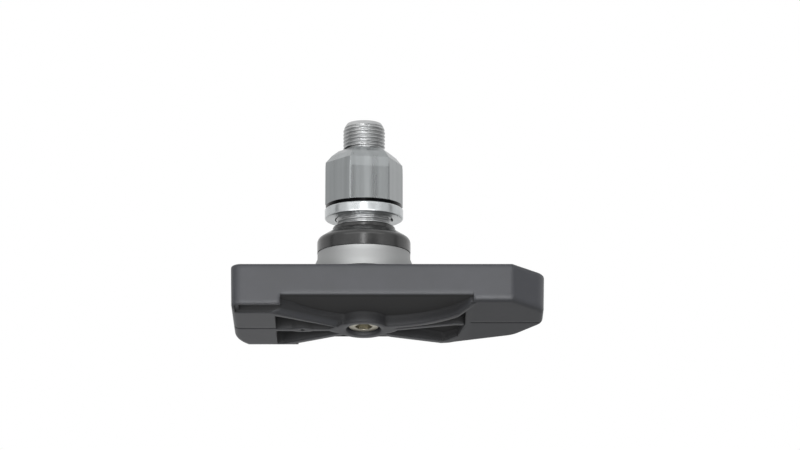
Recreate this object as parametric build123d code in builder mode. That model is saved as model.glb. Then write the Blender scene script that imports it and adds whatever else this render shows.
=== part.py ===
"""Tyre pressure sensor: a clamp-in tyre valve with a sensor housing screwed to its slanted foot."""
import os
from math import cos, radians, sin, tan

from build123d import *

os.makedirs("parts", exist_ok=True)

# Fits shared by neighbouring pieces
running_gap = 0.05          # turned part in a turned bore
seat_gap = 0.02             # faces that turn or slide on one another
drop_in_gap = 0.10          # moulded part dropped into a moulded recess

# Valve stem, measured along the valve axis from the top of its base flange
flange_r = 8.5
flare_r = 9.0
flare_top = -1.2
flare_bottom = -2.4
foot_depth = 5.0            # flange top down to the slanted seat, on the axis
rim_thread_r = 5.1
rim_thread_top = 14.3
neck_r = 3.55               # plain neck inside the nut, below the cap thread
nipple_r = 3.85
nipple_bottom = 19.4
nipple_top = 24.5
nipple_tip_r = 3.2
nipple_mid_r = 3.64
nipple_tip = 1.5            # length of the rounded tip
core_bore_r = 2.65
core_bore_depth = 6.9
core_bore_cone = 1.2
core_bore_bottom = nipple_top - core_bore_depth
core_cone_bottom = core_bore_bottom - core_bore_cone
air_bore_r = 2.05
air_bore_bottom = 5.0
air_duct_r = 1.5
air_duct_bottom = -1.6
air_outlet_r = 1.0
air_outlet_z = -0.9
spigot_side = 6.0           # square tail that stops the stem turning in the housing
spigot_corner_r = 0.8
spigot_length = 3.2

# Rubber grommet
grommet_r = 8.55
grommet_shoulder_z = 2.5
grommet_neck_r = 5.75
grommet_neck_z = 4.2
grommet_top = 4.9
grommet_edge_r = 0.35
grommet_shoulder_r = 1.2

# Nut and washer
nut_flats = 12.6
nut_turned_r = 7.2
nut_bottom = 8.95
nut_waist_z = 15.1          # the six faces lean inwards above, in three steps
nut_waist = 1.8
nut_waist_lean = 3.5
nut_shoulder = 1.35
nut_shoulder_lean = 36.5
nut_crown = 0.95
nut_crown_lean = 49.0
nut_top = nut_waist_z + nut_waist + nut_shoulder + nut_crown
nut_foot_r = 7.05
nut_thread_top = 16.6
nut_mouth_r = 4.0
nut_angle = 9.7
washer_r = nut_turned_r
washer_bottom = 6.36
washer_top = 8.3
washer_bore_r = 5.35
washer_edge_r = 0.3

# Valve core
core_sink = 0.5             # stem top down to the top of the core
core_length = 10.0
core_thread_r = 2.6
core_key = 1.4
core_key_width = 2.6
core_key_r = 2.0
core_waist_r = 1.7
core_room_r = 1.35
core_room_depth = 7.1
core_gasket_r = 2.35
core_gasket_low_r = 2.0
core_gasket_length = 0.9
core_gasket_drop = 0.1
core_shoulder = 0.5
core_top = nipple_top - core_sink
core_thread_top = core_top - core_key
core_waist_bottom = core_top - core_length
core_room_bottom = core_top - core_room_depth
core_gasket_top = core_bore_bottom - core_gasket_drop
core_gasket_bottom = core_gasket_top - core_gasket_length
pin_r = 0.45
pin_bore_r = 0.75
pin_proud = 0.2
pin_button_r = 0.8
pin_button = 0.4
pin_collar_r = 1.2
pin_collar = 0.5
pin_collar_depth = 2.4
cup_r = 1.55
cup_length = 1.8
cup_edge_r = 0.3
pin_tail = 0.4
pin_top = core_top + pin_proud
pin_collar_top = pin_top - pin_collar_depth
pin_collar_bottom = pin_collar_top - pin_collar
cup_bottom = core_waist_bottom - cup_length
pin_bottom = cup_bottom - pin_tail
spring_r = 0.95
spring_wire_r = 0.14
spring_pitch = 0.72

# Housing, in its own plane that leans from the valve axis about X; height 0 is the underside of the ribs
lean = 7.5
left_end = -23.75
right_end = 32.7
near_side = -13.0
far_side = 11.4
far_bevel_start = 14.9
far_bevel_x = 27.8
far_bevel_y = 6.6
far_right_y = 0.2
bevel_start = 26.8
bevel_end = -7.4
near_left_r = 1.9
far_left_r = 8.0
bevel_r = 4.0
far_bevel_r = 12.0
far_right_r = 5.0
right_r = 3.0
draft = 1.5
under_far_r = 4.0
under_edge_r = 0.9
top_edge_r = 0.35
wall = 1.3
lid_ledge = 0.65
end_floor = 1.2
steep = 45.0                # faces closer to level than this belong to the underside
rib_end_start = 17.0        # the bow's rib climbs to the raised end later than the rest
rib_end = 20.4
ramp_start = 5.0            # right of the eye the underside climbs to a raised end
ramp_end = 16.5
end_rise = 1.1
deep_pocket = 2.6           # heights stacked up from the ribs to the valve's seat
pocket_roof = 1.0
post_height = 2.1
board_thick = 0.8
lid_over_board = 0.4
lid_thick = 1.2
deck_height = 1.2
deck_drop = 0.3
cavity_floor = deep_pocket + pocket_roof
board_low = cavity_floor + post_height
board_high = board_low + board_thick
lid_seat = board_high + lid_over_board
wall_top = lid_seat + lid_thick
seat_height = wall_top + deck_height + deck_drop

# Star of ribs and eye underneath
eye_r = 4.5
eye_bore_r = 3.25
near_pocket = 2.06
near_edge_r = 0.8
near_edge_inset = (wall_top - near_pocket) * tan(radians(draft))
bow_depth = 11.0
rib_width = 1.15
rib_root_r = 0.5
web_length = 6.3
web_width = 2.6
pad_width = 7.85
pad_edge = left_end + pad_width
notch_left = -14.8
notch_right = 19.8
bow_span = (notch_right - notch_left) / 2
bow_r = (bow_span**2 + bow_depth**2) / (2 * bow_depth)
bow_x = (notch_left + notch_right) / 2
bow_y = near_side + bow_depth - bow_r
bow_slope = 2.2             # left part of the bow leans outwards by this much
bow_slope_angle = 33.5
bow_slope_x = -16.5
bow_slope_y = -12.0
bow_slope_length = 15.5
bow_slope_notch_y = bow_slope_y + (notch_left - bow_slope_x) * tan(radians(bow_slope_angle))
bow_slope_eye_y = bow_slope_y - bow_slope_x * tan(radians(bow_slope_angle))
near_left_rib = 209.5
near_left_edge = 1.15       # far edge of that rib, off the eye's centre
far_left_rib = 151.0
far_right_rib = 33.0
rib_reach = 18.2
pocket_right = 18.5
pocket_right_y = -9.0
pocket_far_left_y = 7.6
pocket_far_right = 17.2
pocket_far_right_y = 6.5
far_notch_left = -12.1
far_notch_right = 14.2
lip = 0.75                  # near wall's lip left of the bow, with a groove behind it
lip_lift = 0.45
lip_start = left_end + lip
groove_depth = 1.5
groove_far = -9.5
groove_left = left_end + 2 * lip
seam_width = 0.35
seam_depth = 0.35
seam_y = -1.0
right_seam_start = 19.5
right_seam_end = 31.9
port_inset = 12.65
port_x = left_end + port_inset
port_boss_length = 4.4
port_boss_width = 2.1
port_r = 0.4
post_r = 1.1
post_inset = 8.6
post_x_left = left_end + post_inset
post_x_right = 9.6
post_y = 8.8

# Screw
screw_r = 2.0
screw_bite = 0.8            # screw tip past the valve's seat
screw_hole_clear = 0.5
screw_end = seat_height + screw_bite
screw_hole_end = screw_end + screw_hole_clear
screw_clear_r = 2.2
screw_head_r = 2.85
screw_head_low = 0.6
screw_head_high = 2.95
screw_head_edge = 0.3
screw_socket_flats = 2.9
screw_socket_depth = 1.3
column_r = 5.2

# Lid
deck_inset = 4.35
deck_left = left_end + deck_inset
deck_right = 15.5
deck_near = -8.5
deck_far = 8.4
deck_corner_r = 3.5
deck_edge_r = 0.7
deck_skin = 1.1
deck_wall = 1.6
lid_bore_gap = 0.25

# Electronics
board_gap = 0.35
board_bore_r = 5.7
cell_x = 23.0
cell_y = -3.0
cell_r = 6.25
cell_floor = 0.7
cell_thick = 1.6
cell_step = 0.35
cell_cap_r = 5.2
cell_edge_r = 0.3
cell_room_r = 6.6
tab_thick = 0.2
cell_low = deep_pocket + cell_floor + tab_thick
cell_high = cell_low + cell_thick
tab_width = 3.0
tab_reach = 7.0
tab_upper_reach = 5.4
tab_slot_gap = 0.3
chip_side = 7.0
chip_height = 1.3
chip_low = board_low - chip_height
chip_inlet_depth = 0.5
seal_r = 1.7
seal_bore_r = 0.7
crystal_shift = 0.9
crystal_x = port_x + crystal_shift
crystal_y = 1.2
crystal_length = 5.0
crystal_width = 3.2
crystal_height = 1.1
crystal_corner_r = 0.6
coil_inset = 3.95
coil_x = left_end + coil_inset
coil_y = 0.4
coil_length = 10.0
coil_width = 3.4
coil_low = 2.1
coil_cheek = 1.5
coil_bar = 1.6
coil_wire_inset = 0.15
coil_room_width = 5.0
coil_room_length = 13.0
coil_room_r = 0.8
antenna_inset = 8.15
antenna_left = left_end + antenna_inset
antenna_right = 12.0
antenna_y = 6.05
antenna_width = 1.2
antenna_thick = 0.3
antenna_height = 0.8
cap_length = 2.0
cap_width = 1.25
cap_height = 0.9
cap_pitch = 2.0
cap_x = 10.0
cap_y = -4.6
cap_count = 4

# The housing's plane: its upright leans by the valve angle and crosses the valve axis at the seat
upright = Vector(0, sin(radians(lean)), cos(radians(lean)))
seat_point = Vector(0, 0, -foot_depth)
body = Plane(origin=seat_point - upright * seat_height, x_dir=(1, 0, 0), z_dir=upright)
seat = body.offset(seat_height)
section = Plane(origin=body.origin, x_dir=body.y_dir, z_dir=(1, 0, 0))
elevation = Plane(origin=body.origin, x_dir=(1, 0, 0), z_dir=-body.y_dir)
bow_left = Plane(
    origin=body.origin + body.x_dir * bow_slope_x + body.y_dir * bow_slope_y,
    x_dir=body.y_dir * cos(radians(bow_slope_angle)) - body.x_dir * sin(radians(bow_slope_angle)),
    z_dir=body.x_dir * cos(radians(bow_slope_angle)) + body.y_dir * sin(radians(bow_slope_angle)),
)
up = Axis(body.origin, body.z_dir)
overlap = 1.0               # cutters run past the faces they open
length = right_end - left_end
depth = far_side - near_side

# Plan of the housing, shared by tub, lid and board
with BuildSketch() as plan:
    with BuildLine():
        Polyline(
            (left_end, near_side),
            (bevel_start, near_side),
            (right_end, bevel_end),
            (right_end, far_right_y),
            (far_bevel_x, far_bevel_y),
            (far_bevel_start, far_side),
            (left_end, far_side),
            close=True,
        )
    make_face()
    fillet(plan.vertices().sort_by_distance((left_end, near_side))[0], near_left_r)
    fillet(plan.vertices().sort_by_distance((left_end, far_side))[0], far_left_r)
    fillet(plan.vertices().sort_by_distance((right_end, bevel_end))[0], bevel_r)
    fillet(plan.vertices().sort_by_distance((right_end, far_right_y))[0], right_r)
    fillet(plan.vertices().sort_by_distance((far_bevel_x, far_bevel_y))[0], far_right_r)
    fillet(plan.vertices().sort_by_distance((far_bevel_start, far_side))[0], far_bevel_r)

# Eye and ribs as they stand between the pockets
with BuildSketch() as star:
    Circle(eye_r)
    for angle in (far_left_rib, far_right_rib, 180, 0):
        with Locations(Location((0, 0, 0), (0, 0, angle))):
            Rectangle(rib_reach, rib_width, align=(Align.MIN, Align.CENTER))
    with Locations(Location((0, 0, 0), (0, 0, near_left_rib))):
        with Locations((0, -near_left_edge)):
            Rectangle(rib_reach, near_left_edge + rib_width, align=(Align.MIN, Align.MIN))
    roots = star.vertices().filter_by(lambda v: v.center().length < eye_r + rib_width / 2).sort_by(Axis.Y)
    fillet(roots[-2:], rib_root_r)
    Ellipse(web_length, web_width)

# Tub
with BuildPart() as housing:
    with BuildSketch(body.offset(wall_top)):
        add(plan.sketch_local)
    extrude(amount=-wall_top, taper=draft)
    # ramp up to the raised right end
    with BuildSketch(elevation):
        with BuildLine():
            Polyline(
                (ramp_start, 0),
                (ramp_end, end_rise),
                (right_end + overlap, end_rise),
                (right_end + overlap, -overlap),
                (ramp_start, -overlap),
                close=True,
            )
        make_face()
    extrude(amount=depth, both=True, mode=Mode.SUBTRACT)
    under = housing.faces().filter_by(lambda face: face.normal_at().dot(upright) < -cos(radians(steep)))
    walls = housing.faces().filter_by(lambda face: abs(face.normal_at().dot(upright)) < sin(radians(steep)))
    fillet(walls.edges().filter_by(lambda edge: edge in under.edges()), under_edge_r)
    fillet(housing.faces().sort_by(up)[-1].edges(), top_edge_r)
    # underside rounded away along the far wall
    with BuildSketch(section.offset(left_end - overlap)):
        with Locations((far_side - under_far_r, under_far_r)):
            Rectangle(under_far_r + overlap, under_far_r + overlap, align=(Align.MIN, Align.MAX))
            Circle(under_far_r, mode=Mode.SUBTRACT)
    extrude(amount=length + 2 * overlap, mode=Mode.SUBTRACT)
    # lid rebate, main room, coil room and cell room
    with BuildSketch(body.offset(lid_seat)):
        add(plan.sketch_local)
        offset(amount=-lid_ledge, mode=Mode.REPLACE)
    extrude(amount=lid_thick, mode=Mode.SUBTRACT)
    with BuildSketch(body.offset(cavity_floor)):
        add(plan.sketch_local)
        offset(amount=-wall, mode=Mode.REPLACE)
    extrude(amount=lid_seat - cavity_floor, mode=Mode.SUBTRACT)
    with BuildSketch(body.offset(end_floor)):
        with Locations((coil_x, coil_y)):
            RectangleRounded(coil_room_width, coil_room_length, coil_room_r)
    extrude(amount=cavity_floor - end_floor, mode=Mode.SUBTRACT)
    with BuildSketch(body.offset(cell_low - tab_thick)):
        with Locations((cell_x, cell_y)):
            Circle(cell_room_r)
            Rectangle(
                tab_reach + tab_slot_gap, tab_width + 2 * tab_slot_gap, align=(Align.MAX, Align.CENTER)
            )
    extrude(amount=cavity_floor - cell_low + tab_thick, mode=Mode.SUBTRACT)
    # column that carries the valve, and posts under the board
    with BuildSketch(body.offset(near_pocket)):
        Circle(column_r)
    extrude(amount=seat_height - near_pocket)
    with BuildSketch(body.offset(cavity_floor)):
        with Locations(
            (post_x_left, -post_y), (post_x_left, post_y), (post_x_right, -post_y), (post_x_right, post_y)
        ):
            Circle(post_r)
    extrude(amount=post_height)
    # pocket open to the near wall
    with BuildSketch(body.offset(-overlap)):
        with Locations((bow_x, bow_y)):
            Circle(bow_r)
        with Locations((bow_x, near_side - overlap)):
            Rectangle(2 * bow_span, 2 * bow_r, align=(Align.CENTER, Align.MIN), mode=Mode.INTERSECT)
        with BuildLine():
            Polyline(
                (notch_left, near_side), (notch_left, bow_slope_notch_y), (0, bow_slope_eye_y), close=True
            )
        make_face()
        Circle(eye_r, mode=Mode.SUBTRACT)
    extrude(amount=near_pocket + overlap, mode=Mode.SUBTRACT)
    with BuildSketch(section.offset(notch_left)):
        with Locations((near_side + near_edge_inset + near_edge_r, near_pocket + near_edge_r)):
            Rectangle(near_edge_r + overlap, near_edge_r + overlap, align=(Align.MAX, Align.MAX))
            Circle(near_edge_r, mode=Mode.SUBTRACT)
    extrude(amount=2 * bow_span, mode=Mode.SUBTRACT)
    with BuildSketch(bow_left):
        with BuildLine():
            Polyline(
                (0, near_pocket),
                (bow_slope * (1 + overlap / near_pocket), -overlap),
                (0, -overlap),
                close=True,
            )
        make_face()
    extrude(amount=bow_slope_length, mode=Mode.SUBTRACT)
    # pockets to the left, right and far side of the eye
    with BuildSketch(body.offset(-overlap)):
        with BuildLine():
            Polyline(
                (0, 0),
                (pad_edge, pad_edge * tan(radians(near_left_rib))),
                (pad_edge, pocket_far_left_y),
                (far_notch_left, pocket_far_left_y),
                (far_notch_left, far_side + overlap),
                (far_notch_right, far_side + overlap),
                (far_notch_right, far_notch_right * tan(radians(far_right_rib))),
                (pocket_far_right, pocket_far_right_y),
                (pocket_right, 0),
                (pocket_right, pocket_right_y),
                close=True,
            )
        make_face()
        add(star.sketch_local, mode=Mode.SUBTRACT)
        with Locations((bow_x, bow_y)):
            Circle(bow_r + rib_width, mode=Mode.SUBTRACT)
    extrude(amount=deep_pocket + overlap, mode=Mode.SUBTRACT)
    # rib along the right part of the bow, level with the eye
    with BuildSketch(body):
        with Locations((bow_x, bow_y)):
            Circle(bow_r + rib_width)
            Circle(bow_r, mode=Mode.SUBTRACT)
        with Locations((ramp_start, near_side + wall)):
            Rectangle(bow_span, bow_r, align=(Align.MIN, Align.MIN), mode=Mode.INTERSECT)
    extrude(amount=deep_pocket)
    with BuildSketch(elevation):
        with BuildLine():
            Polyline(
                (rib_end_start, 0),
                (rib_end, end_rise),
                (right_end, end_rise),
                (right_end, -overlap),
                (rib_end_start, -overlap),
                close=True,
            )
        make_face()
    extrude(amount=depth, both=True, mode=Mode.SUBTRACT)
    # lip of the near wall and the groove behind it
    with BuildSketch(body.offset(-overlap)):
        with Locations((lip_start, groove_far)):
            Rectangle(notch_left - lip_start, groove_far - near_side + overlap, align=(Align.MIN, Align.MAX))
    extrude(amount=lip_lift + overlap, mode=Mode.SUBTRACT)
    with BuildSketch(body):
        with Locations((groove_left, groove_far)):
            Rectangle(notch_left - groove_left, groove_far - near_side - lip, align=(Align.MIN, Align.MAX))
    extrude(amount=groove_depth, mode=Mode.SUBTRACT)
    # parting groove across the pad and the raised end
    with BuildSketch(body):
        with Locations((pad_edge, seam_y)):
            Rectangle(pad_width, seam_width, align=(Align.MAX, Align.CENTER))
    extrude(amount=seam_depth, mode=Mode.SUBTRACT)
    with BuildSketch(body):
        with Locations((right_seam_start, seam_y)):
            Rectangle(right_seam_end - right_seam_start, seam_width, align=(Align.MIN, Align.CENTER))
    extrude(amount=end_rise + seam_depth, mode=Mode.SUBTRACT)
    # pressure inlet on the left rib
    with BuildSketch(body):
        with Locations((port_x, 0)):
            Ellipse(port_boss_length / 2, port_boss_width / 2)
    extrude(amount=deep_pocket)
    with BuildSketch(body):
        with Locations((port_x, 0)):
            Circle(port_r)
    extrude(amount=cavity_floor, mode=Mode.SUBTRACT)
    # eye for the screw, and the square socket for the stem's tail
    with BuildSketch(body):
        Circle(eye_bore_r)
    extrude(amount=screw_head_high, mode=Mode.SUBTRACT)
    with BuildSketch(body.offset(screw_head_high)):
        Circle(screw_clear_r)
    extrude(amount=seat_height - screw_head_high, mode=Mode.SUBTRACT)
    with BuildSketch(seat):
        RectangleRounded(spigot_side + 2 * running_gap, spigot_side + 2 * running_gap, spigot_corner_r)
    extrude(amount=-spigot_length - running_gap, mode=Mode.SUBTRACT)
housing.part.label = "housing"
export_step(housing.part, "parts/housing.step")

# Lid with a raised deck round the valve
with BuildPart() as lid:
    with BuildSketch(body.offset(lid_seat)):
        add(plan.sketch_local)
        offset(amount=-lid_ledge - drop_in_gap, mode=Mode.REPLACE)
    extrude(amount=lid_thick)
    with BuildSketch(body.offset(wall_top)) as deck:
        with Locations((deck_left, deck_near)):
            RectangleRounded(
                deck_right - deck_left, deck_far - deck_near, deck_corner_r, align=(Align.MIN, Align.MIN)
            )
    extrude(amount=deck_height)
    fillet(lid.faces().sort_by(up)[-1].edges(), deck_edge_r)
    with BuildSketch(body.offset(lid_seat)):
        add(deck.sketch_local)
        offset(amount=-deck_wall, mode=Mode.REPLACE)
    extrude(amount=lid_thick + deck_height - deck_skin, mode=Mode.SUBTRACT)
    with BuildSketch(body.offset(lid_seat)):
        Circle(column_r + lid_bore_gap)
    extrude(amount=seat_height - lid_seat, mode=Mode.SUBTRACT)
lid.part.label = "lid"
export_step(lid.part, "parts/lid.step")

# Valve stem: turned along the valve axis, foot cut square to the screw, square tail in the housing
with BuildPart() as valve_stem:
    with BuildSketch(Plane.XZ):
        with BuildLine():
            Polyline(
                (0, -2 * foot_depth),
                (flare_r, -2 * foot_depth),
                (flare_r, flare_bottom),
                (flange_r, flare_top),
                (flange_r, 0),
                (rim_thread_r, 0),
                (rim_thread_r, rim_thread_top),
                (neck_r, rim_thread_top),
                (neck_r, nipple_bottom),
                (nipple_r, nipple_bottom),
                (nipple_r, nipple_top - nipple_tip),
                (nipple_mid_r, nipple_top - nipple_tip / 2),
                (nipple_tip_r, nipple_top),
                (0, nipple_top),
                close=True,
            )
        make_face()
    revolve(axis=Axis.Z)
    split(bisect_by=seat, keep=Keep.TOP)
    with BuildSketch(seat):
        RectangleRounded(spigot_side, spigot_side, spigot_corner_r)
    extrude(amount=-spigot_length)
    with BuildSketch(Plane.XZ):
        with BuildLine():
            Polyline(
                (0, nipple_top),
                (core_bore_r, nipple_top),
                (core_bore_r, core_bore_bottom),
                (air_bore_r, core_cone_bottom),
                (air_bore_r, air_bore_bottom),
                (air_duct_r, air_bore_bottom),
                (air_duct_r, air_duct_bottom),
                (0, air_duct_bottom),
                close=True,
            )
        make_face()
    revolve(axis=Axis.Z, mode=Mode.SUBTRACT)
    with BuildSketch(Plane.XZ):
        with Locations((0, air_outlet_z)):
            Circle(air_outlet_r)
    extrude(amount=-flare_r, mode=Mode.SUBTRACT)
    with BuildSketch(seat.offset(-spigot_length)):
        Circle(screw_r + running_gap)
    extrude(amount=screw_hole_end - seat_height + spigot_length, mode=Mode.SUBTRACT)
valve_stem.part.label = "valve_stem"
export_step(valve_stem.part, "parts/valve_stem.step")

# Grommet
with BuildPart() as grommet:
    with BuildSketch(Plane.XZ) as profile:
        with BuildLine():
            Polyline(
                (rim_thread_r + running_gap, 0),
                (grommet_r, 0),
                (grommet_r, grommet_shoulder_z),
                (grommet_neck_r, grommet_neck_z),
                (grommet_neck_r, grommet_top),
                (rim_thread_r + running_gap, grommet_top),
                close=True,
            )
        make_face()
        fillet(profile.vertices().sort_by_distance((grommet_r, grommet_shoulder_z))[0], grommet_shoulder_r)
        fillet(profile.vertices().sort_by_distance((grommet_neck_r, grommet_top))[0], grommet_edge_r)
    revolve(axis=Axis.Z)
grommet.part.label = "grommet"
export_step(grommet.part, "parts/grommet.step")

# Washer
with BuildPart() as nut_washer:
    with BuildSketch(Plane.XY.offset(washer_bottom)):
        Circle(washer_r)
        Circle(washer_bore_r, mode=Mode.SUBTRACT)
    extrude(amount=washer_top - washer_bottom)
    fillet(nut_washer.edges().filter_by(GeomType.CIRCLE).group_by(SortBy.RADIUS)[-1], washer_edge_r)
nut_washer.part.label = "nut_washer"
export_step(nut_washer.part, "parts/nut_washer.step")

# Nut: hexagon bar with turned corners, its faces leaning in at the top, standing on a short round foot
with BuildPart() as clamp_nut:
    with BuildSketch(Plane.XY.offset(nut_bottom)):
        RegularPolygon(nut_flats / 2, 6, major_radius=False, rotation=nut_angle)
    extrude(amount=nut_waist_z - nut_bottom)
    extrude(clamp_nut.faces().sort_by(Axis.Z)[-1], amount=nut_waist, taper=nut_waist_lean)
    extrude(clamp_nut.faces().sort_by(Axis.Z)[-1], amount=nut_shoulder, taper=nut_shoulder_lean)
    extrude(clamp_nut.faces().sort_by(Axis.Z)[-1], amount=nut_crown, taper=nut_crown_lean)
    with BuildSketch(Plane.XY.offset(nut_bottom)):
        Circle(nut_turned_r)
    extrude(amount=nut_top - nut_bottom, mode=Mode.INTERSECT)
    with BuildSketch(Plane.XY.offset(washer_top + seat_gap)):
        Circle(nut_foot_r)
    extrude(amount=nut_bottom - washer_top)
    with BuildSketch(Plane.XY.offset(washer_top)):
        Circle(rim_thread_r + running_gap)
    extrude(amount=nut_thread_top - washer_top, mode=Mode.SUBTRACT)
    with BuildSketch(Plane.XY.offset(nut_thread_top)):
        Circle(nut_mouth_r)
    extrude(amount=nut_top - nut_thread_top, mode=Mode.SUBTRACT)
clamp_nut.part.label = "clamp_nut"
export_step(clamp_nut.part, "parts/clamp_nut.step")

# Screw
with BuildPart() as fixing_screw:
    with BuildSketch(body.offset(screw_head_low)):
        Circle(screw_head_r)
    extrude(amount=screw_head_high - screw_head_low)
    fillet(fixing_screw.faces().sort_by(up)[0].edges(), screw_head_edge)
    with BuildSketch(body.offset(screw_head_high)):
        Circle(screw_r)
    extrude(amount=screw_end - screw_head_high)
    with BuildSketch(body.offset(screw_head_low)):
        RegularPolygon(screw_socket_flats / 2, 6, major_radius=False)
    extrude(amount=screw_socket_depth, mode=Mode.SUBTRACT)
fixing_screw.part.label = "fixing_screw"
export_step(fixing_screw.part, "parts/fixing_screw.step")

# Valve core barrel with its key flats
with BuildPart() as core_barrel:
    with BuildSketch(Plane.XZ):
        with BuildLine():
            Polyline(
                (pin_bore_r, core_waist_bottom),
                (core_waist_r, core_waist_bottom),
                (core_waist_r, core_gasket_top),
                (core_thread_r, core_gasket_top + core_shoulder),
                (core_thread_r, core_thread_top),
                (core_key_r, core_thread_top),
                (core_key_r, core_top),
                (core_room_r, core_top),
                (core_room_r, core_room_bottom),
                (pin_bore_r, core_room_bottom),
                close=True,
            )
        make_face()
    revolve(axis=Axis.Z)
    with BuildSketch(Plane.XY.offset(core_thread_top)):
        Rectangle(2 * core_thread_r, 2 * core_thread_r)
        Rectangle(2 * core_thread_r, core_key_width, mode=Mode.SUBTRACT)
    extrude(amount=core_top - core_thread_top, mode=Mode.SUBTRACT)
core_barrel.part.label = "core_barrel"
export_step(core_barrel.part, "parts/core_barrel.step")

# Seal ring on the core's waist
with BuildPart() as core_gasket:
    with BuildSketch(Plane.XZ):
        with BuildLine():
            Polyline(
                (core_waist_r, core_gasket_bottom),
                (core_gasket_low_r, core_gasket_bottom),
                (core_gasket_r, core_gasket_top),
                (core_waist_r, core_gasket_top),
                close=True,
            )
        make_face()
    revolve(axis=Axis.Z)
core_gasket.part.label = "core_gasket"
export_step(core_gasket.part, "parts/core_gasket.step")

# Pin with the collar its spring lifts
with BuildPart() as core_pin:
    with BuildSketch(Plane.XY.offset(pin_bottom)):
        Circle(pin_r)
    extrude(amount=pin_top - pin_bottom)
    with BuildSketch(Plane.XY.offset(pin_collar_bottom)):
        Circle(pin_collar_r)
    extrude(amount=pin_collar_top - pin_collar_bottom)
    with BuildSketch(Plane.XY.offset(pin_top - pin_button)):
        Circle(pin_button_r)
    extrude(amount=pin_button)
core_pin.part.label = "core_pin"
export_step(core_pin.part, "parts/core_pin.step")

# Sealing cup on the pin
with BuildPart() as core_cup:
    with BuildSketch(Plane.XY.offset(cup_bottom)):
        Circle(cup_r)
    extrude(amount=core_waist_bottom - seat_gap - cup_bottom)
    fillet(core_cup.faces().sort_by(Axis.Z)[0].edges(), cup_edge_r)
    with BuildSketch(Plane.XY.offset(cup_bottom)):
        Circle(pin_r)
    extrude(amount=core_waist_bottom - cup_bottom, mode=Mode.SUBTRACT)
core_cup.part.label = "core_cup"
export_step(core_cup.part, "parts/core_cup.step")

# Return spring between the barrel's step and the pin's collar
with BuildPart() as core_spring:
    with BuildLine():
        coil = Helix(
            spring_pitch,
            pin_collar_bottom - core_room_bottom - 2 * spring_wire_r,
            spring_r,
            center=(0, 0, core_room_bottom + spring_wire_r),
        )
    with BuildSketch(Plane(origin=coil @ 0, z_dir=coil % 0)):
        Circle(spring_wire_r)
    sweep()
core_spring.part.label = "core_spring"
export_step(core_spring.part, "parts/core_spring.step")

# Circuit board
with BuildPart() as circuit_board:
    with BuildSketch(body.offset(board_low)):
        add(plan.sketch_local)
        offset(amount=-wall - board_gap, mode=Mode.REPLACE)
        Circle(board_bore_r, mode=Mode.SUBTRACT)
    extrude(amount=board_high - board_low)
circuit_board.part.label = "circuit_board"
export_step(circuit_board.part, "parts/circuit_board.step")

# Coin cell, its narrow pole facing the housing floor
with BuildPart() as battery:
    with BuildSketch(body.offset(cell_low)):
        with Locations((cell_x, cell_y)):
            Circle(cell_cap_r)
    extrude(amount=cell_step)
    with BuildSketch(body.offset(cell_low + cell_step)):
        with Locations((cell_x, cell_y)):
            Circle(cell_r)
    extrude(amount=cell_high - cell_low - cell_step)
    fillet(battery.edges().filter_by(GeomType.CIRCLE).group_by(SortBy.RADIUS)[-1], cell_edge_r)
battery.part.label = "battery"
export_step(battery.part, "parts/battery.step")

# Contact strips, each with a leg up to the board
with BuildPart() as battery_tab_lower:
    with BuildSketch(body.offset(cell_low - tab_thick)):
        with Locations((cell_x, cell_y)):
            Rectangle(tab_reach, tab_width, align=(Align.MAX, Align.CENTER))
    extrude(amount=tab_thick)
    with BuildSketch(body.offset(cell_low)):
        with Locations((cell_x - tab_reach, cell_y)):
            Rectangle(tab_thick, tab_width, align=(Align.MIN, Align.CENTER))
    extrude(amount=board_low - cell_low)
battery_tab_lower.part.label = "battery_tab_lower"
export_step(battery_tab_lower.part, "parts/battery_tab_lower.step")

with BuildPart() as battery_tab_upper:
    with BuildSketch(body.offset(cell_high)):
        with Locations((cell_x, cell_y)):
            Rectangle(tab_upper_reach, tab_width, align=(Align.MIN, Align.CENTER))
    extrude(amount=tab_thick)
    with BuildSketch(body.offset(cell_high + tab_thick)):
        with Locations((cell_x + tab_upper_reach, cell_y)):
            Rectangle(tab_thick, tab_width, align=(Align.MAX, Align.CENTER))
    extrude(amount=board_low - cell_high - tab_thick)
battery_tab_upper.part.label = "battery_tab_upper"
export_step(battery_tab_upper.part, "parts/battery_tab_upper.step")

# Pressure chip under the board, its inlet over the port
with BuildPart() as sensor_chip:
    with BuildSketch(body.offset(chip_low)):
        with Locations((port_x, 0)):
            Rectangle(chip_side, chip_side)
    extrude(amount=board_low - chip_low)
    with BuildSketch(body.offset(chip_low)):
        with Locations((port_x, 0)):
            Circle(port_r)
    extrude(amount=chip_inlet_depth, mode=Mode.SUBTRACT)
sensor_chip.part.label = "sensor_chip"
export_step(sensor_chip.part, "parts/sensor_chip.step")

# Gasket from port to chip
with BuildPart() as port_seal:
    with BuildSketch(body.offset(cavity_floor)):
        with Locations((port_x, 0)):
            Circle(seal_r)
            Circle(seal_bore_r, mode=Mode.SUBTRACT)
    extrude(amount=chip_low - cavity_floor)
port_seal.part.label = "port_seal"
export_step(port_seal.part, "parts/port_seal.step")

# Clock crystal
with BuildPart() as crystal:
    with BuildSketch(body.offset(board_high)):
        with Locations((crystal_x, crystal_y)):
            RectangleRounded(crystal_length, crystal_width, crystal_corner_r)
    extrude(amount=crystal_height)
crystal.part.label = "crystal"
export_step(crystal.part, "parts/crystal.step")

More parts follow.
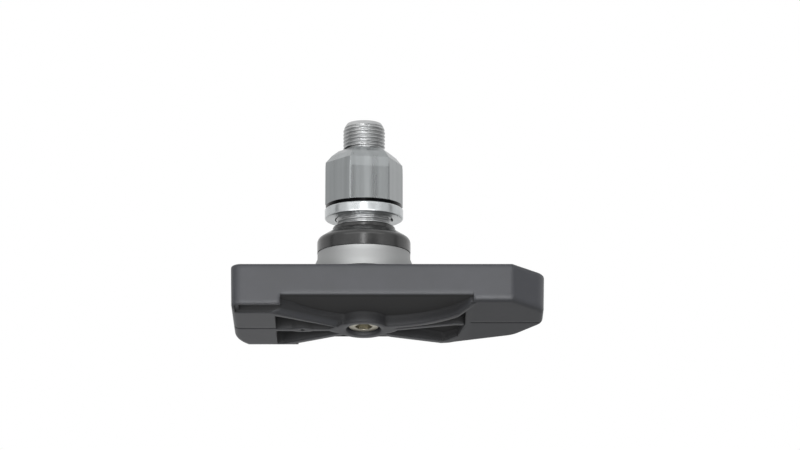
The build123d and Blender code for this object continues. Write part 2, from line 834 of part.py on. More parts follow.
# Wake-up coil: ferrite bar with end cheeks, copper between them
coil_middle = (board_low + coil_low) / 2
cheek_offset = (coil_length - coil_cheek) / 2
with BuildPart() as coil_core:
    with BuildSketch(body.offset(coil_low)):
        with Locations((coil_x, coil_y - cheek_offset), (coil_x, coil_y + cheek_offset)):
            Rectangle(coil_width, coil_cheek)
    extrude(amount=board_low - coil_low)
    with BuildSketch(body.offset(coil_middle - coil_bar / 2)):
        with Locations((coil_x, coil_y)):
            Rectangle(coil_bar, coil_length)
    extrude(amount=coil_bar)
coil_core.part.label = "coil_core"
export_step(coil_core.part, "parts/coil_core.step")

with BuildPart() as coil_winding:
    with BuildSketch(body.offset(coil_low + coil_wire_inset)):
        with Locations((coil_x, coil_y)):
            Rectangle(coil_width - 2 * coil_wire_inset, coil_length - 2 * coil_cheek)
    extrude(amount=board_low - coil_low - 2 * coil_wire_inset)
    with BuildSketch(body.offset(coil_middle - coil_bar / 2)):
        with Locations((coil_x, coil_y)):
            Rectangle(coil_bar, coil_length)
    extrude(amount=coil_bar, mode=Mode.SUBTRACT)
coil_winding.part.label = "coil_winding"
export_step(coil_winding.part, "parts/coil_winding.step")

# Stamped transmitting strip standing on two feet
with BuildPart() as antenna:
    with BuildSketch(body.offset(board_high)):
        with Locations((antenna_left, antenna_y)):
            Rectangle(antenna_thick, antenna_width, align=(Align.MIN, Align.CENTER))
        with Locations((antenna_right, antenna_y)):
            Rectangle(antenna_thick, antenna_width, align=(Align.MAX, Align.CENTER))
    extrude(amount=antenna_height)
    with BuildSketch(body.offset(board_high + antenna_height)):
        with Locations((antenna_left, antenna_y)):
            Rectangle(antenna_right - antenna_left, antenna_width, align=(Align.MIN, Align.CENTER))
    extrude(amount=antenna_thick)
antenna.part.label = "antenna"
export_step(antenna.part, "parts/antenna.step")

# Four alike capacitors in a row
with BuildPart() as capacitors:
    with BuildSketch(body.offset(board_high)):
        with Locations((cap_x, cap_y)):
            with GridLocations(cap_pitch, 0, cap_count, 1):
                Rectangle(cap_width, cap_length)
    extrude(amount=cap_height)
capacitors.part.label = "capacitors"
export_step(capacitors.part, "parts/capacitors.step")
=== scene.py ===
from math import cos, pi, radians, sin, tau

import bmesh
import bpy
from mathutils import Matrix, Vector


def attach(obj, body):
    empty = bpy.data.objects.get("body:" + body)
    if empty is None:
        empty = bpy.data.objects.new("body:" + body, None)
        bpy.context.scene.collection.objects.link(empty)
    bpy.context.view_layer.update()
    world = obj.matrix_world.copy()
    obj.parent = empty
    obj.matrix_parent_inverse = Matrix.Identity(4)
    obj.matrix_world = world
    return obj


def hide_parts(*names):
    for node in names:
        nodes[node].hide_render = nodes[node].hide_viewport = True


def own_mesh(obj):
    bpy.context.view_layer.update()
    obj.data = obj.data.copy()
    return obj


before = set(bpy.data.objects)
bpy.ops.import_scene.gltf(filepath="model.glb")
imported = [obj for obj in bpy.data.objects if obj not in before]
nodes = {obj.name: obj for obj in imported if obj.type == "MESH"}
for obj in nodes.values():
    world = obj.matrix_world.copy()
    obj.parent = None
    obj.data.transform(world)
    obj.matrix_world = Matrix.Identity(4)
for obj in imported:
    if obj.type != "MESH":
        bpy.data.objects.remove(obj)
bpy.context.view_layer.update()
scene = bpy.context.scene
mm = 0.001
plainWhite = (1.0, 1.0, 1.0, 1.0)
print("frame loaded:", len(nodes), "nodes")


def hexColour(code):
    # sRGB hex to linear, as the shader sockets expect
    parts = [int(code[i:i + 2], 16) / 255 for i in (1, 3, 5)]
    linear = [c / 12.92 if c <= 0.04045 else ((c + 0.055) / 1.055) ** 2.4 for c in parts]
    return (*linear, 1.0)


def perSize(sizeMm):
    # texture scale for a pattern whose repeat is this many millimetres
    return 1 / (sizeMm * mm)


def addNode(tree, kind, sockets=None, links=None, **settings):
    node = tree.nodes.new(kind)
    for key, value in settings.items():
        setattr(node, key, value)
    for key, value in (sockets or {}).items():
        node.inputs[key].default_value = value
    for key, source in (links or {}).items():
        tree.links.new(source, node.inputs[key])
    return node


def newMaterial(name):
    mat = bpy.data.materials.new(name)
    mat.use_nodes = True
    mat.node_tree.nodes.clear()
    return mat, mat.node_tree


def closeMaterial(tree, shader):
    addNode(tree, "ShaderNodeOutputMaterial", links={"Surface": shader.outputs["BSDF"]})


def dress(piece, mat):
    piece.data.materials.clear()
    piece.data.materials.append(mat)


# glass-filled nylon, moulded in a spark-eroded tool: charcoal, matt, soft light along every edge;
# painted shade makes the pockets and the ceilings set back from the ribs near black and rougher,
# and the raised end's down-facing faces turn darker and rougher
nylonLook = {
    "tones": ((0.30, "#383a40"), (0.72, "#404249")),  # dark to pale over these shares of the flow
    "ior": 1.53,
    "roughness": (0.42, 0.52),
    "flowMm": 9.0, "flowDetail": 3.0, "flowRoughness": 0.6,
    "grainMm": 0.16,              # eroded grain is about 0.04 mm; drawn coarser so that it shows
    "grainDetail": 2.0, "grainRoughness": 0.55,
    "grainHeight": 0.012, "grainStrength": 0.35,
    "edgeRadius": 1.1, "edgeSamples": 6,
    # painted shade: near black and rough in the pockets and on the ceilings; the raised end is
    # mixed towards the same colour
    "pocketShadeAndEndColour": "#0c0c0e", "pocketRoughness": 0.95,
    "pocketMm": 5.0, "pocketSamples": 12, "pocketShadeShare": 0.72,
    "pocketOpen": (0.55, 0.95),   # share of open air deep in a pocket and out of it
    "endMm": (14.0, 20.0),        # the skin changes over this stretch of the right half
    "endShare": 0.30,
    "lean": 7.5,
    "facingDown": (-0.5, -0.8),   # share of the normal along the upright, slanted to level
    "ribsMm": -14.557,            # underside of the ribs, measured along the housing's upright
    "ceilingMm": (0.4, 1.0),      # pocket ceilings lie deeper than this
    "rampMm": (5.0, 16.5, 1.1),   # start, end and rise of the raised right end
}


def makeNylon(look):
    mat, tree = newMaterial("glassFilledNylonMoulded")
    place = addNode(tree, "ShaderNodeTexCoord").outputs
    flow = addNode(tree, "ShaderNodeTexNoise",
                   {"Scale": perSize(look["flowMm"]), "Detail": look["flowDetail"],
                    "Roughness": look["flowRoughness"]}, {"Vector": place["Object"]})
    grain = addNode(tree, "ShaderNodeTexNoise",
                    {"Scale": perSize(look["grainMm"]), "Detail": look["grainDetail"],
                     "Roughness": look["grainRoughness"]}, {"Vector": place["Object"]})
    blend = addNode(tree, "ShaderNodeValToRGB", links={"Fac": flow.outputs["Fac"]})
    for stop, (position, colour) in zip(blend.color_ramp.elements, look["tones"]):
        stop.position, stop.color = position, hexColour(colour)
    # painted shade: how far a point lies inside a pocket, nothing in the open and the full share
    # deep inside
    shelter = addNode(tree, "ShaderNodeAmbientOcclusion", {"Distance": look["pocketMm"] * mm},
                      samples=look["pocketSamples"], only_local=True)
    inside = addNode(tree, "ShaderNodeMapRange",
                     {"From Min": look["pocketOpen"][0], "From Max": look["pocketOpen"][1],
                      "To Min": look["pocketShadeShare"], "To Max": 0.0},
                     {"Value": shelter.outputs["AO"]})
    along = addNode(tree, "ShaderNodeSeparateXYZ", links={"Vector": place["Object"]})
    endStart, endFull = look["endMm"]
    towardsEnd = addNode(tree, "ShaderNodeMapRange",
                         {"From Min": endStart * mm, "From Max": endFull * mm,
                          "To Max": look["endShare"]}, {"Value": along.outputs["X"]})
    # painted shade on the ceilings: faces that look down, set back from the ribs
    upright = (0.0, sin(radians(look["lean"])), cos(radians(look["lean"])))
    height = addNode(tree, "ShaderNodeVectorMath", {1: upright}, {0: place["Object"]},
                     operation="DOT_PRODUCT")
    facing = addNode(tree, "ShaderNodeVectorMath", {1: upright}, {0: place["Normal"]},
                     operation="DOT_PRODUCT")
    rampStart, rampFull, rampRise = look["rampMm"]
    raised = addNode(tree, "ShaderNodeMapRange",
                     {"From Min": rampStart * mm, "From Max": rampFull * mm,
                      "To Max": rampRise * mm}, {"Value": along.outputs["X"]})
    depth = addNode(tree, "ShaderNodeMath",
                    links={0: height.outputs["Value"], 1: raised.outputs["Result"]},
                    operation="SUBTRACT")
    shallow, deep = look["ceilingMm"]
    setBack = addNode(tree, "ShaderNodeMapRange",
                      {"From Min": (look["ribsMm"] + shallow) * mm,
                       "From Max": (look["ribsMm"] + deep) * mm},
                      {"Value": depth.outputs["Value"]})
    down = addNode(tree, "ShaderNodeMapRange",
                   {"From Min": look["facingDown"][0], "From Max": look["facingDown"][1]},
                   {"Value": facing.outputs["Value"]})
    # the strongest of the three paints shade into the pockets and ceilings, darkens the raised
    # end's down-facing faces and makes the skin rougher
    pocketShadeAndEnd = inside.outputs["Result"]
    for share in (towardsEnd, setBack):
        below = addNode(tree, "ShaderNodeMath",
                        links={0: share.outputs["Result"], 1: down.outputs["Result"]},
                        operation="MULTIPLY")
        pocketShadeAndEnd = addNode(tree, "ShaderNodeMath", links={0: pocketShadeAndEnd, 1: below.outputs["Value"]},
                       operation="MAXIMUM").outputs["Value"]
    # painted shade: the mask mixes the flow colour towards near black
    tone = addNode(tree, "ShaderNodeMixRGB", {"Color2": hexColour(look["pocketShadeAndEndColour"])},
                   {"Fac": pocketShadeAndEnd, "Color1": blend.outputs["Color"]})
    matt = addNode(tree, "ShaderNodeMapRange",
                   {"To Min": look["roughness"][0], "To Max": look["roughness"][1]},
                   {"Value": grain.outputs["Fac"]})
    skin = addNode(tree, "ShaderNodeMapRange", {"To Max": look["pocketRoughness"]},
                   {"Value": pocketShadeAndEnd, "To Min": matt.outputs["Result"]})
    soft = addNode(tree, "ShaderNodeBevel", {"Radius": look["edgeRadius"] * mm},
                   samples=look["edgeSamples"])
    bump = addNode(tree, "ShaderNodeBump",
                   {"Strength": look["grainStrength"], "Distance": look["grainHeight"] * mm},
                   {"Height": grain.outputs["Fac"], "Normal": soft.outputs["Normal"]})
    shader = addNode(tree, "ShaderNodeBsdfPrincipled", {"IOR": look["ior"]},
                     {"Base Color": tone.outputs["Color"], "Roughness": skin.outputs["Result"],
                      "Normal": bump.outputs["Normal"]})
    closeMaterial(tree, shader)
    return mat


# EPDM rubber, moulded smooth: near black, a broad sheen
rubberLook = {
    "tones": ((0.35, "#353535"), (0.80, "#454545")),
    "ior": 1.5,
    "roughness": (0.20, 0.28),
    "bloomMm": 3.0, "bloomDetail": 4.0,
    "poreMm": 0.22, "poreDetail": 2.0, "poreHeight": 0.006, "poreStrength": 0.2,
}


def makeRubber(look):
    mat, tree = newMaterial("mouldedEpdmRubber")
    place = addNode(tree, "ShaderNodeTexCoord").outputs["Object"]
    bloom = addNode(tree, "ShaderNodeTexNoise",
                    {"Scale": perSize(look["bloomMm"]), "Detail": look["bloomDetail"]},
                    {"Vector": place})
    pore = addNode(tree, "ShaderNodeTexNoise",
                   {"Scale": perSize(look["poreMm"]), "Detail": look["poreDetail"]},
                   {"Vector": place})
    blend = addNode(tree, "ShaderNodeValToRGB", links={"Fac": bloom.outputs["Fac"]})
    for stop, (position, colour) in zip(blend.color_ramp.elements, look["tones"]):
        stop.position, stop.color = position, hexColour(colour)
    matt = addNode(tree, "ShaderNodeMapRange",
                   {"To Min": look["roughness"][0], "To Max": look["roughness"][1]},
                   {"Value": bloom.outputs["Fac"]})
    bump = addNode(tree, "ShaderNodeBump",
                   {"Strength": look["poreStrength"], "Distance": look["poreHeight"] * mm},
                   {"Height": pore.outputs["Fac"]})
    shader = addNode(tree, "ShaderNodeBsdfPrincipled", {"IOR": look["ior"]},
                     {"Base Color": blend.outputs["Color"], "Roughness": matt.outputs["Result"],
                      "Normal": bump.outputs["Normal"]})
    closeMaterial(tree, shader)
    return mat


# turned and drawn metals: fine rings round the valve axis pull the highlights into streaks;
# tool marks are finer than ringMm on the real pieces and are drawn coarser so that they show
turnedLooks = {
    "nickelPlatedStem": {
        "colour": "#afb0b0", "darkColour": "#9c9d9e", "roughness": 0.32,
        "ringMm": 0.16, "lift": 0.0003, "cloudMm": 2.5, "drawn": 1.0, "pull": 0.1, "edge": 0.0,
        # painted shade: the flange below satinMm is coloured darker; its higher roughness is the
        # satin finish
        "satinMm": 0.02, "satinRoughness": 0.60, "flangeShadeColour": "#939494",
    },
    "zincPlatedWasher": {
        "colour": "#bbbebf", "darkColour": "#a9acad", "roughness": 0.28,
        "ringMm": 0.18, "lift": 0.0025, "cloudMm": 2.5, "drawn": 1.0, "pull": 0.45, "edge": 0.12,
    },
    "satinAluminiumNut": {
        "colour": "#919495", "darkColour": "#848788", "roughness": 0.28,
        "ringMm": 0.20, "lift": 0.001, "cloudMm": 1.6, "drawn": 40.0, "pull": 0.15, "edge": 0.05,
        # painted shade: below footMm the nut is near black, for the shadowed gap to the washer
        "footMm": 8.92, "footShadeColour": "#0c0c0d",
    },
}
turnedFinish = {
    "stops": (0.30, 0.70),       # darker to lighter metal over these shares of the cloud
    "detail": 3.0,
    "aroundScale": 60.0,         # the rings hardly vary round the axis
    "ringRoughness": 0.6, "ringStrength": 0.35,
    "wear": (-0.05, 0.07),       # how far the roughness strays from its middle value
    "edgeSamples": 6,
    "pullTurn": 0.25,            # a quarter turn: highlights stretch along the axis
}


def makeTurned(name, look, finish):
    mat, tree = newMaterial(name)
    place = addNode(tree, "ShaderNodeTexCoord").outputs["Object"]
    height = addNode(tree, "ShaderNodeSeparateXYZ", links={"Vector": place}).outputs["Z"]
    # noise stretched round the axis: only the height along the valve varies quickly
    along = addNode(tree, "ShaderNodeMapping",
                    {"Scale": (finish["aroundScale"], finish["aroundScale"],
                               perSize(look["ringMm"]))}, {"Vector": place})
    rings = addNode(tree, "ShaderNodeTexNoise",
                    {"Scale": 1.0, "Detail": finish["detail"],
                     "Roughness": finish["ringRoughness"]}, {"Vector": along.outputs["Vector"]})
    # clouds on turned pieces, lines along the bar on a drawn one
    across = perSize(look["cloudMm"])
    spread = addNode(tree, "ShaderNodeMapping",
                     {"Scale": (across, across, across / look["drawn"])}, {"Vector": place})
    cloud = addNode(tree, "ShaderNodeTexNoise", {"Scale": 1.0, "Detail": finish["detail"]},
                    {"Vector": spread.outputs["Vector"]})
    blend = addNode(tree, "ShaderNodeValToRGB", links={"Fac": cloud.outputs["Fac"]})
    for stop, position, tone in zip(blend.color_ramp.elements, finish["stops"],
                                    ("darkColour", "colour")):
        stop.position, stop.color = position, hexColour(look[tone])
    worn = addNode(tree, "ShaderNodeMapRange",
                   {"To Min": look["roughness"] + finish["wear"][0],
                    "To Max": look["roughness"] + finish["wear"][1]},
                   {"Value": cloud.outputs["Fac"]})
    if "footMm" in look:
        # painted shade: the nut's short round foot is coloured near black for the shadowed gap
        # between nut and washer
        foot = addNode(tree, "ShaderNodeMath", {1: look["footMm"] * mm}, {0: height},
                       operation="LESS_THAN")
        blend = addNode(tree, "ShaderNodeMixRGB", {"Color2": hexColour(look["footShadeColour"])},
                        {"Fac": foot.outputs["Value"], "Color1": blend.outputs["Color"]})
    if "satinMm" in look:
        # the base flange is tumbled satin, rougher than the threads above, and painted shade
        # darkens its colour to tone down the light it catches
        flangeSatinAndShade = addNode(tree, "ShaderNodeMath", {1: look["satinMm"] * mm}, {0: height},
                        operation="LESS_THAN")
        worn = addNode(tree, "ShaderNodeMapRange", {"To Max": look["satinRoughness"]},
                       {"Value": flangeSatinAndShade.outputs["Value"], "To Min": worn.outputs["Result"]})
        blend = addNode(tree, "ShaderNodeMixRGB", {"Color2": hexColour(look["flangeShadeColour"])},
                        {"Fac": flangeSatinAndShade.outputs["Value"], "Color1": blend.outputs["Color"]})
    bump = addNode(tree, "ShaderNodeBump",
                   {"Strength": finish["ringStrength"], "Distance": look["lift"] * mm},
                   {"Height": rings.outputs["Fac"]})
    if look["edge"] > 0:
        soft = addNode(tree, "ShaderNodeBevel", {"Radius": look["edge"] * mm},
                       samples=finish["edgeSamples"])
        tree.links.new(soft.outputs["Normal"], bump.inputs["Normal"])
    around = addNode(tree, "ShaderNodeTangent", direction_type="RADIAL", axis="Z")
    shader = addNode(tree, "ShaderNodeBsdfPrincipled",
                     {"Metallic": 1.0, "Anisotropic": look["pull"],
                      "Anisotropic Rotation": finish["pullTurn"]},
                     {"Base Color": blend.outputs["Color"], "Roughness": worn.outputs["Result"],
                      "Normal": bump.outputs["Normal"], "Tangent": around.outputs["Tangent"]})
    closeMaterial(tree, shader)
    return mat


# small fittings: a base finish, a second tone it clouds into, how shiny it is, how large the clouds
fittingLooks = {
    "nickelPlatedSteelScrew": {"tones": ("#bdbaad", "#9f9a8a"), "metal": 1.0, "roughness": 0.30,
                               "cloudMm": 0.8},
    "turnedBrassCore": {"tones": ("#cdb06a", "#b3944f"), "metal": 1.0, "roughness": 0.30,
                        "cloudMm": 0.7},
    "redSiliconeSeal": {"tones": ("#5e1f18", "#6f2a20"), "metal": 0.0, "roughness": 0.5,
                        "cloudMm": 0.6},
    "drawnSpringSteel": {"tones": ("#9b9b98", "#848480"), "metal": 1.0, "roughness": 0.32,
                         "cloudMm": 0.4},
    "greenSolderResist": {"tones": ("#1d4f33", "#173f2a"), "metal": 0.0, "roughness": 0.38,
                          "cloudMm": 1.5},
    "pressedSteelCell": {"tones": ("#c2c2c0", "#aeaeab"), "metal": 1.0, "roughness": 0.24,
                         "cloudMm": 2.0},
    "nickelStrip": {"tones": ("#c7c3b8", "#b2ada0"), "metal": 1.0, "roughness": 0.3,
                    "cloudMm": 1.0},
    "epoxyMouldedChip": {"tones": ("#191919", "#232323"), "metal": 0.0, "roughness": 0.55,
                         "cloudMm": 0.5},
    "sinteredFerrite": {"tones": ("#2a2a2c", "#38383a"), "metal": 0.0, "roughness": 0.6,
                        "cloudMm": 0.4},
    "enamelledCopperWire": {"tones": ("#b8652f", "#9c5226"), "metal": 1.0, "roughness": 0.28,
                            "cloudMm": 0.3},
    "firedCeramic": {"tones": ("#a58a68", "#8f7757"), "metal": 0.0, "roughness": 0.5,
                     "cloudMm": 0.4},
}
fittingFinish = {"stops": (0.30, 0.75), "detail": 4.0, "wear": 0.06,
                 "edge": 0.08, "edgeSamples": 4, "lift": 0.004, "liftStrength": 0.15}


def makeFitting(name, look, finish):
    mat, tree = newMaterial(name)
    place = addNode(tree, "ShaderNodeTexCoord").outputs["Object"]
    cloud = addNode(tree, "ShaderNodeTexNoise",
                    {"Scale": perSize(look["cloudMm"]), "Detail": finish["detail"]},
                    {"Vector": place})
    blend = addNode(tree, "ShaderNodeValToRGB", links={"Fac": cloud.outputs["Fac"]})
    for stop, position, tone in zip(blend.color_ramp.elements, finish["stops"], look["tones"]):
        stop.position, stop.color = position, hexColour(tone)
    worn = addNode(tree, "ShaderNodeMapRange",
                   {"To Min": look["roughness"] - finish["wear"],
                    "To Max": look["roughness"] + finish["wear"]}, {"Value": cloud.outputs["Fac"]})
    soft = addNode(tree, "ShaderNodeBevel", {"Radius": finish["edge"] * mm},
                   samples=finish["edgeSamples"])
    bump = addNode(tree, "ShaderNodeBump",
                   {"Strength": finish["liftStrength"], "Distance": finish["lift"] * mm},
                   {"Height": cloud.outputs["Fac"], "Normal": soft.outputs["Normal"]})
    shader = addNode(tree, "ShaderNodeBsdfPrincipled", {"Metallic": look["metal"]},
                     {"Base Color": blend.outputs["Color"], "Roughness": worn.outputs["Result"],
                      "Normal": bump.outputs["Normal"]})
    closeMaterial(tree, shader)
    return mat


nylon = makeNylon(nylonLook)
rubber = makeRubber(rubberLook)
turned = {name: makeTurned(name, look, turnedFinish) for name, look in turnedLooks.items()}
fittings = {name: makeFitting(name, look, fittingFinish) for name, look in fittingLooks.items()}

finishes = {
    "housing": nylon,
    "lid": nylon,
    "grommet": rubber,
    "nut_washer": turned["zincPlatedWasher"],
    "clamp_nut": turned["satinAluminiumNut"],
    "valve_stem": turned["nickelPlatedStem"],
    "fixing_screw": fittings["nickelPlatedSteelScrew"],
    "core_barrel": fittings["turnedBrassCore"],
    "core_pin": fittings["turnedBrassCore"],
    "core_gasket": fittings["redSiliconeSeal"],
    "core_cup": fittings["redSiliconeSeal"],
    "core_spring": fittings["drawnSpringSteel"],
    "circuit_board": fittings["greenSolderResist"],
    "battery": fittings["pressedSteelCell"],
    "battery_tab_lower": fittings["nickelStrip"],
    "battery_tab_upper": fittings["nickelStrip"],
    "sensor_chip": fittings["epoxyMouldedChip"],
    "port_seal": fittings["redSiliconeSeal"],
    "crystal": fittings["nickelStrip"],
    "coil_core": fittings["sinteredFerrite"],
    "coil_winding": fittings["enamelledCopperWire"],
    "antenna": fittings["nickelStrip"],
    "capacitors": fittings["firedCeramic"],
}
for nodeName, mat in finishes.items():
    dress(nodes[nodeName], mat)
print("materials on", len(finishes), "nodes")

# valve stem with its two cut threads, heights in mm from the flange top
stem = {
    "segments": 144, "rowsPerTurn": 12, "sharpAngle": 40.0,
    "flangeR": 8.5, "flareR": 9.0, "flareTop": -1.2, "flareBottom": -2.4, "skirtBottom": -8.0,
    "edge": 0.15, "seatZ": -5.0, "lean": 7.5, "neckR": 3.55,
    "rim": {"crest": 5.1, "depth": 0.36, "pitch": 0.75, "low": 3.0, "high": 14.3,
            "tip": 4.45, "tipStart": 13.6},
    "cap": {"crest": 3.85, "depth": 0.35, "pitch": 0.67, "low": 19.4, "high": 24.5,
            "tip": 3.2, "tipStart": 23.0},
    "rootFlat": 0.12, "flank": 0.70,   # shares of half a pitch, the rest is the crest's flat
    "tipCurve": 1.6,
    "boreR": 2.65, "boreBottom": 17.6, "coneBottom": 16.4, "airR": 2.05, "airBottom": 5.0,
    "ductR": 1.5, "ductBottom": -1.6,
    "outletR": 1.0, "outletZ": -0.9, "outletSegments": 48,
    "tailSide": 6.0, "tailCorner": 0.8, "tailLength": 3.2, "tailGap": 0.01, "cornerSteps": 6,
}


def threadRadius(dims, cut, z, angle):
    # right-hand thread: the crest climbs one pitch in a turn
    phase = (z / cut["pitch"] - angle / tau) % 1.0
    slope = abs(phase - 0.5) * 2  # 0 in the root, 1 on the crest
    share = min(1.0, max(0.0, (slope - dims["rootFlat"]) / dims["flank"]))
    radius = cut["crest"] - cut["depth"] * (1 - share)
    if z > cut["tipStart"]:
        fall = (z - cut["tipStart"]) / (cut["high"] - cut["tipStart"])
        lead = cut["crest"] + (cut["tip"] - cut["crest"]) * fall ** dims["tipCurve"]
        radius = min(radius, lead)
    return radius


def threadRows(dims, cut):
    count = round((cut["high"] - cut["low"]) / cut["pitch"] * dims["rowsPerTurn"])
    step = (cut["high"] - cut["low"]) / count
    heights = [cut["low"] + step * i for i in range(count + 1)]
    return [(z, lambda angle, z=z: threadRadius(dims, cut, z, angle)) for z in heights]


def plainRow(z, r):
    return (z, lambda angle: r)


def spin(bm, rows, segments):
    # each row is a height and a function that gives the radius at an angle
    rings = []
    for z, radiusAt in rows:
        ring = []
        for j in range(segments):
            angle = tau * j / segments
            r = radiusAt(angle)
            ring.append(bm.verts.new((r * cos(angle) * mm, r * sin(angle) * mm, z * mm)))
        rings.append(ring)
    for low, high in zip(rings, rings[1:]):
        for j in range(segments):
            k = (j + 1) % segments
            bm.faces.new((low[j], low[k], high[k], high[j]))
    return rings


def makeStem(dims):
    rim, cap = dims["rim"], dims["cap"]
    rows = [plainRow(dims["skirtBottom"], dims["flareR"]),
            plainRow(dims["flareBottom"], dims["flareR"]),
            plainRow(dims["flareTop"], dims["flangeR"]),
            plainRow(-dims["edge"], dims["flangeR"]),
            plainRow(0.0, dims["flangeR"] - dims["edge"]),
            plainRow(0.0, rim["crest"] - rim["depth"])]
    rows += threadRows(dims, rim)
    rows += [plainRow(rim["high"], dims["neckR"]), plainRow(cap["low"], dims["neckR"])]
    rows += threadRows(dims, cap)
    # over the end and down the bore
    rows += [plainRow(cap["high"], dims["boreR"] + dims["edge"]),
             plainRow(cap["high"] - dims["edge"], dims["boreR"]),
             plainRow(dims["boreBottom"], dims["boreR"]),
             plainRow(dims["coneBottom"], dims["airR"]),
             plainRow(dims["airBottom"], dims["airR"]),
             plainRow(dims["airBottom"], dims["ductR"]),
             plainRow(dims["ductBottom"], dims["ductR"])]
    bm = bmesh.new()
    rings = spin(bm, rows, dims["segments"])
    bm.faces.new(rings[-1])
    bm.faces.new(list(reversed(rings[0])))
    # foot cut square to the screw
    upright = Vector((0, sin(radians(dims["lean"])), cos(radians(dims["lean"]))))
    cut = bmesh.ops.bisect_plane(bm, geom=bm.verts[:] + bm.edges[:] + bm.faces[:],
                                 plane_co=(0, 0, dims["seatZ"] * mm), plane_no=upright,
                                 clear_inner=True)
    footEdges = [e for e in cut["geom_cut"] if isinstance(e, bmesh.types.BMEdge)]
    bmesh.ops.contextual_create(bm, geom=footEdges)
    bmesh.ops.recalc_face_normals(bm, faces=bm.faces[:])
    mesh = bpy.data.meshes.new("valveStemThreaded")
    bm.to_mesh(mesh)
    bm.free()
    piece = bpy.data.objects.new("valveStemThreaded", mesh)
    scene.collection.objects.link(piece)
    return piece


def drillOutlet(piece, dims):
    bm = bmesh.new()
    bmesh.ops.create_cone(bm, cap_ends=True, segments=dims["outletSegments"],
                          radius1=dims["outletR"] * mm, radius2=dims["outletR"] * mm,
                          depth=2 * dims["flareR"] * mm)
    bm.transform(Matrix.Translation((0, dims["flareR"] * mm, dims["outletZ"] * mm))
                 @ Matrix.Rotation(pi / 2, 4, "X"))
    cutterMesh = bpy.data.meshes.new("outletDrill")
    bm.to_mesh(cutterMesh)
    bm.free()
    cutter = bpy.data.objects.new("outletDrill", cutterMesh)
    scene.collection.objects.link(cutter)
    drill = piece.modifiers.new("outlet", "BOOLEAN")
    drill.operation, drill.object, drill.solver = "DIFFERENCE", cutter, "EXACT"
    bpy.context.view_layer.update()
    cutPiece = piece.evaluated_get(bpy.context.evaluated_depsgraph_get())
    drilled = bpy.data.meshes.new_from_object(cutPiece)
    piece.modifiers.clear()
    piece.data = drilled
    bpy.data.objects.remove(cutter)


def addTail(piece, dims):
    # square tail below the foot, inside the housing
    bm = bmesh.new()
    bm.from_mesh(piece.data)
    r, steps = dims["tailCorner"], dims["cornerSteps"]
    inset = dims["tailSide"] / 2 - r
    outline = []
    for corner, (sx, sy) in enumerate(((1, 1), (-1, 1), (-1, -1), (1, -1))):
        for i in range(steps + 1):
            a = (corner + i / steps) * pi / 2
            outline.append((sx * inset + r * cos(a), sy * inset + r * sin(a)))
    lean = (Matrix.Translation((0, 0, dims["seatZ"] * mm))
            @ Matrix.Rotation(-radians(dims["lean"]), 4, "X"))
    top, end = [[bm.verts.new(lean @ Vector((x * mm, y * mm, -drop * mm))) for x, y in outline]
                for drop in (dims["tailGap"], dims["tailLength"])]
    for j in range(len(top)):
        k = (j + 1) % len(top)
        bm.faces.new((end[j], end[k], top[k], top[j]))
    bm.faces.new(top)
    bm.faces.new(list(reversed(end)))
    bm.to_mesh(piece.data)
    bm.free()


stemPiece = makeStem(stem)
drillOutlet(stemPiece, stem)
addTail(stemPiece, stem)
dress(stemPiece, turned["nickelPlatedStem"])
for face in stemPiece.data.polygons:
    face.use_smooth = True
stemPiece.data.set_sharp_from_angle(angle=radians(stem["sharpAngle"]))
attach(stemPiece, "sensor")
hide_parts("valve_stem")
print("stem:", len(stemPiece.data.polygons), "faces")

# the core's return spring: a copy of the CAD coil with its own mesh, on its step in the barrel,
# attached to the sensor body in place of the CAD node
springPiece = bpy.data.objects.new("coreSpringWound", nodes["core_spring"].data.copy())
springPiece.matrix_world = nodes["core_spring"].matrix_world
scene.collection.objects.link(springPiece)
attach(springPiece, "sensor")
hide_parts("core_spring")
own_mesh(springPiece)

# studio, in metres: a white room, a dim floor well below the held part, a wide low panel in front
# that shows only in gloss, a tall strip above it and a long panel for the near wall
studio = {
    "roomLight": 0.36,
    "floorZ": -0.6, "floorSize": 6.0,
    "floorColour": "#9a9a98", "floorRoughness": 0.8, "floorSeen": 0.58,
    "cardRoughness": 0.9,
    "cards": {
        "greyCardFront": {"at": (0.50, -1.25, 0.33), "size": (0.62, 0.62), "colour": "#6e6e6c"},
        "darkCardRight": {"at": (1.15, -0.08, 0.38), "size": (0.20, 0.60), "colour": "#8a8a8a"},
        "darkCardLeft": {"at": (-1.15, -0.08, 0.38), "size": (0.20, 0.60), "colour": "#8a8a8a"},
    },
    "lamps": {
        "frontPanel": {"at": (-0.06, -1.08, -0.26), "size": (1.80, 0.44), "power": 20.0,
                       "glossOnly": True},
        "frontStrip": {"at": (-0.01, -1.00, 0.28), "size": (0.10, 0.46), "power": 1.5},
        "wallPanel": {"at": (0.0, -0.90, 0.58), "size": (2.20, 0.40), "power": 3.8},
        "overheadFill": {"at": (0.0, 0.25, 1.1), "size": (1.6, 1.6), "power": 1.8},
    },
}


def backdropRays(tree):
    # 1 for rays that come from the camera, off a gloss or through glass: they see the pale backdrop
    path = addNode(tree, "ShaderNodeLightPath").outputs
    seen = path["Is Camera Ray"]
    for ray in ("Is Glossy Ray", "Is Transmission Ray"):
        seen = addNode(tree, "ShaderNodeMath", links={0: seen, 1: path[ray]},
                       operation="MAXIMUM").outputs["Value"]
    return seen


def addSheet(name, wide, tall):
    x, y = wide / 2, tall / 2
    mesh = bpy.data.meshes.new(name)
    mesh.from_pydata([(-x, -y, 0), (x, -y, 0), (x, y, 0), (-x, y, 0)], [], [(0, 1, 2, 3)])
    sheet = bpy.data.objects.new(name, mesh)
    scene.collection.objects.link(sheet)
    return sheet


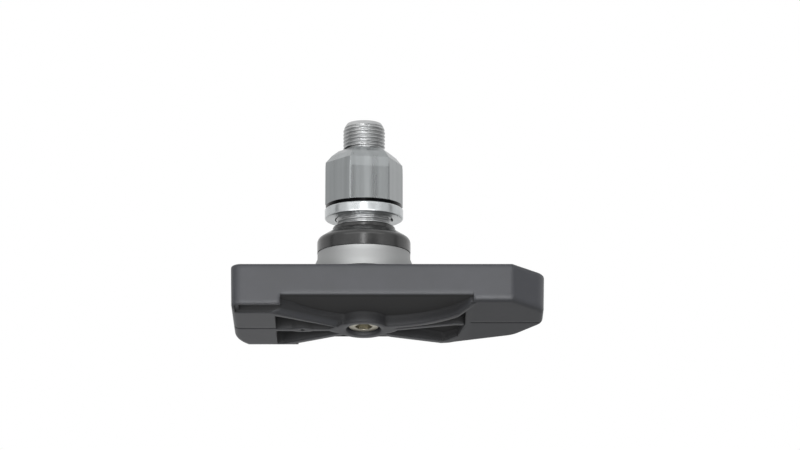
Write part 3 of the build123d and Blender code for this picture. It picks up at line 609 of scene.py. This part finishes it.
world = bpy.data.worlds.new("whiteRoom")
scene.world = world
world.use_nodes = True
room = world.node_tree
room.nodes.clear()
white = addNode(room, "ShaderNodeBackground", {"Color": plainWhite, "Strength": 1.0})
glow = addNode(room, "ShaderNodeBackground",
               {"Color": plainWhite, "Strength": studio["roomLight"]})
both = addNode(room, "ShaderNodeMixShader",
               links={0: backdropRays(room), 1: glow.outputs["Background"],
                      2: white.outputs["Background"]})
addNode(room, "ShaderNodeOutputWorld", links={"Surface": both.outputs["Shader"]})

floor = addSheet("paleFloor", studio["floorSize"], studio["floorSize"])
floor.location.z = studio["floorZ"]
floorPaint, tree = newMaterial("paleFloorPaint")
lit = addNode(tree, "ShaderNodeMath", {1: studio["floorSeen"]}, {0: backdropRays(tree)},
              operation="MULTIPLY")
closeMaterial(tree, addNode(tree, "ShaderNodeBsdfPrincipled",
                            {"Base Color": hexColour(studio["floorColour"]),
                             "Roughness": studio["floorRoughness"],
                             "Emission Color": plainWhite},
                            {"Emission Strength": lit.outputs["Value"]}))
dress(floor, floorPaint)

# cards seen only in reflections: they ground the tones of the nut's front and of slanted faces
for name, card in studio["cards"].items():
    sheet = addSheet(name, *card["size"])
    sheet.location = card["at"]
    sheet.rotation_euler = (-Vector(card["at"])).to_track_quat("Z", "Y").to_euler()
    sheet.visible_camera = sheet.visible_diffuse = sheet.visible_shadow = False
    cardPaint, tree = newMaterial(name + "Paint")
    closeMaterial(tree, addNode(tree, "ShaderNodeBsdfPrincipled",
                                {"Base Color": hexColour(card["colour"]),
                                 "Roughness": studio["cardRoughness"]}))
    dress(sheet, cardPaint)

for name, lamp in studio["lamps"].items():
    light = bpy.data.lights.new(name, "AREA")
    light.shape, light.energy = "RECTANGLE", lamp["power"]
    light.size, light.size_y = lamp["size"]
    holder = bpy.data.objects.new(name, light)
    holder.location = lamp["at"]
    holder.rotation_euler = (-Vector(lamp["at"])).to_track_quat("-Z", "Y").to_euler()
    holder.visible_camera = False
    holder.visible_diffuse = not lamp.get("glossOnly", False)
    scene.collection.objects.link(holder)

# camera below the part, looking up at it; the eye of the housing lands where the photograph has it
view = {
    "rise": 13.5, "distance": 600.0, "pixelsPerMm": 5.5,
    "eyeMm": (0.0, -1.2530, -14.5179), "eyePixel": (363.6, 330.0),
    "frame": (800, 450), "sensor": 36.0, "clip": (0.01, 20.0),
}
rise = radians(view["rise"])
sideways = Vector((1, 0, 0))
upward = Vector((0, -sin(rise), cos(rise)))
forward = Vector((0, cos(rise), sin(rise)))
acrossMm = (view["eyePixel"][0] - view["frame"][0] / 2) / view["pixelsPerMm"]
aboveMm = (view["frame"][1] / 2 - view["eyePixel"][1]) / view["pixelsPerMm"]
middleMm = Vector(view["eyeMm"]) - acrossMm * sideways - aboveMm * upward
camData = bpy.data.cameras.new("photoCamera")
camData.sensor_width = view["sensor"]
camData.lens = view["pixelsPerMm"] * view["distance"] / view["frame"][0] * view["sensor"]
camData.clip_start, camData.clip_end = view["clip"]
camera = bpy.data.objects.new("photoCamera", camData)
camera.location = (middleMm - view["distance"] * forward) * mm
camera.rotation_mode = "QUATERNION"
camera.rotation_quaternion = Matrix((sideways, upward, -forward)).transposed().to_quaternion()
scene.collection.objects.link(camera)
scene.camera = camera
scene.view_settings.view_transform = "Standard"
print("studio and camera set")
